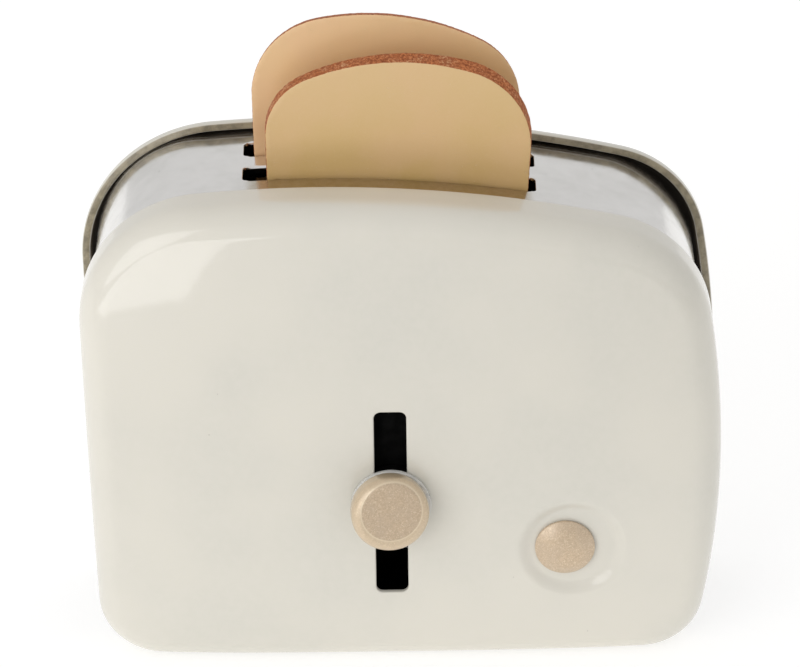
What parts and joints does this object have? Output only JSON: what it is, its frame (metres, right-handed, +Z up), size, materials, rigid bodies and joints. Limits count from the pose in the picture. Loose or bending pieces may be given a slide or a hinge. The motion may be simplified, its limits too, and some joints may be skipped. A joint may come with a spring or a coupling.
{
  "type": "toy toaster",
  "caption": "Doll's-house toaster: domed enamelled tin front and shallow back on a bright tinplate band, with bread slots, loose toast slices, a sliding lift lever and a dial button.",
  "frame": {"origin": "centre of the footprint of the whole toy, on the surface it stands on", "axes": "+Z up, the front with the lever and the dial button faces -Y, +X to the right seen from the front"},
  "size_m": [0.061, 0.0244, 0.0624],
  "materials": {
    "enamel": "satin cream enamel on pressed tin",
    "tinplate": "bright rolled tinplate",
    "champagne_paint": "satin metallic champagne paint",
    "clear_plastic": "clear glossy sheet",
    "steel": "plain zinc-plated sheet",
    "black_steel": "blackened sheet steel",
    "toast": "cast resin, painted as toasted bread"
  },
  "bodies": {
    "body": {"front_cover": "enamel", "rear_cover": "enamel", "band": "tinplate"},
    "lift": {"lift_knob": "champagne_paint", "knob_washer": "clear_plastic", "inner_washer": "black_steel", "spring_washer": "black_steel", "lift_plate": "black_steel", "bread_tray": "steel", "tray_rivets": "steel"},
    "toast_front": {"slice_front": "toast"},
    "toast_rear": {"slice_rear": "toast"},
    "dial": {"button": "champagne_paint", "button_washer": "steel"}
  },
  "joints": [
    {"name": "lever_slide", "type": "slide", "parent": "body", "child": "lift", "axis": [0, 0, 1], "range_m": [-0.0082, 0.0082]},
    {"name": "toast_front_lift", "type": "slide", "parent": "lift", "child": "toast_front", "axis": [0, 0, 1], "range_m": [0, 0.026]},
    {"name": "toast_rear_lift", "type": "slide", "parent": "lift", "child": "toast_rear", "axis": [0, 0, 1], "range_m": [0, 0.026]},
    {"name": "dial_turn", "type": "hinge", "parent": "body", "child": "dial", "pos_m": [0.0154, -0.008, 0.0128], "axis": [0, -1, 0], "continuous": true}
  ]
}
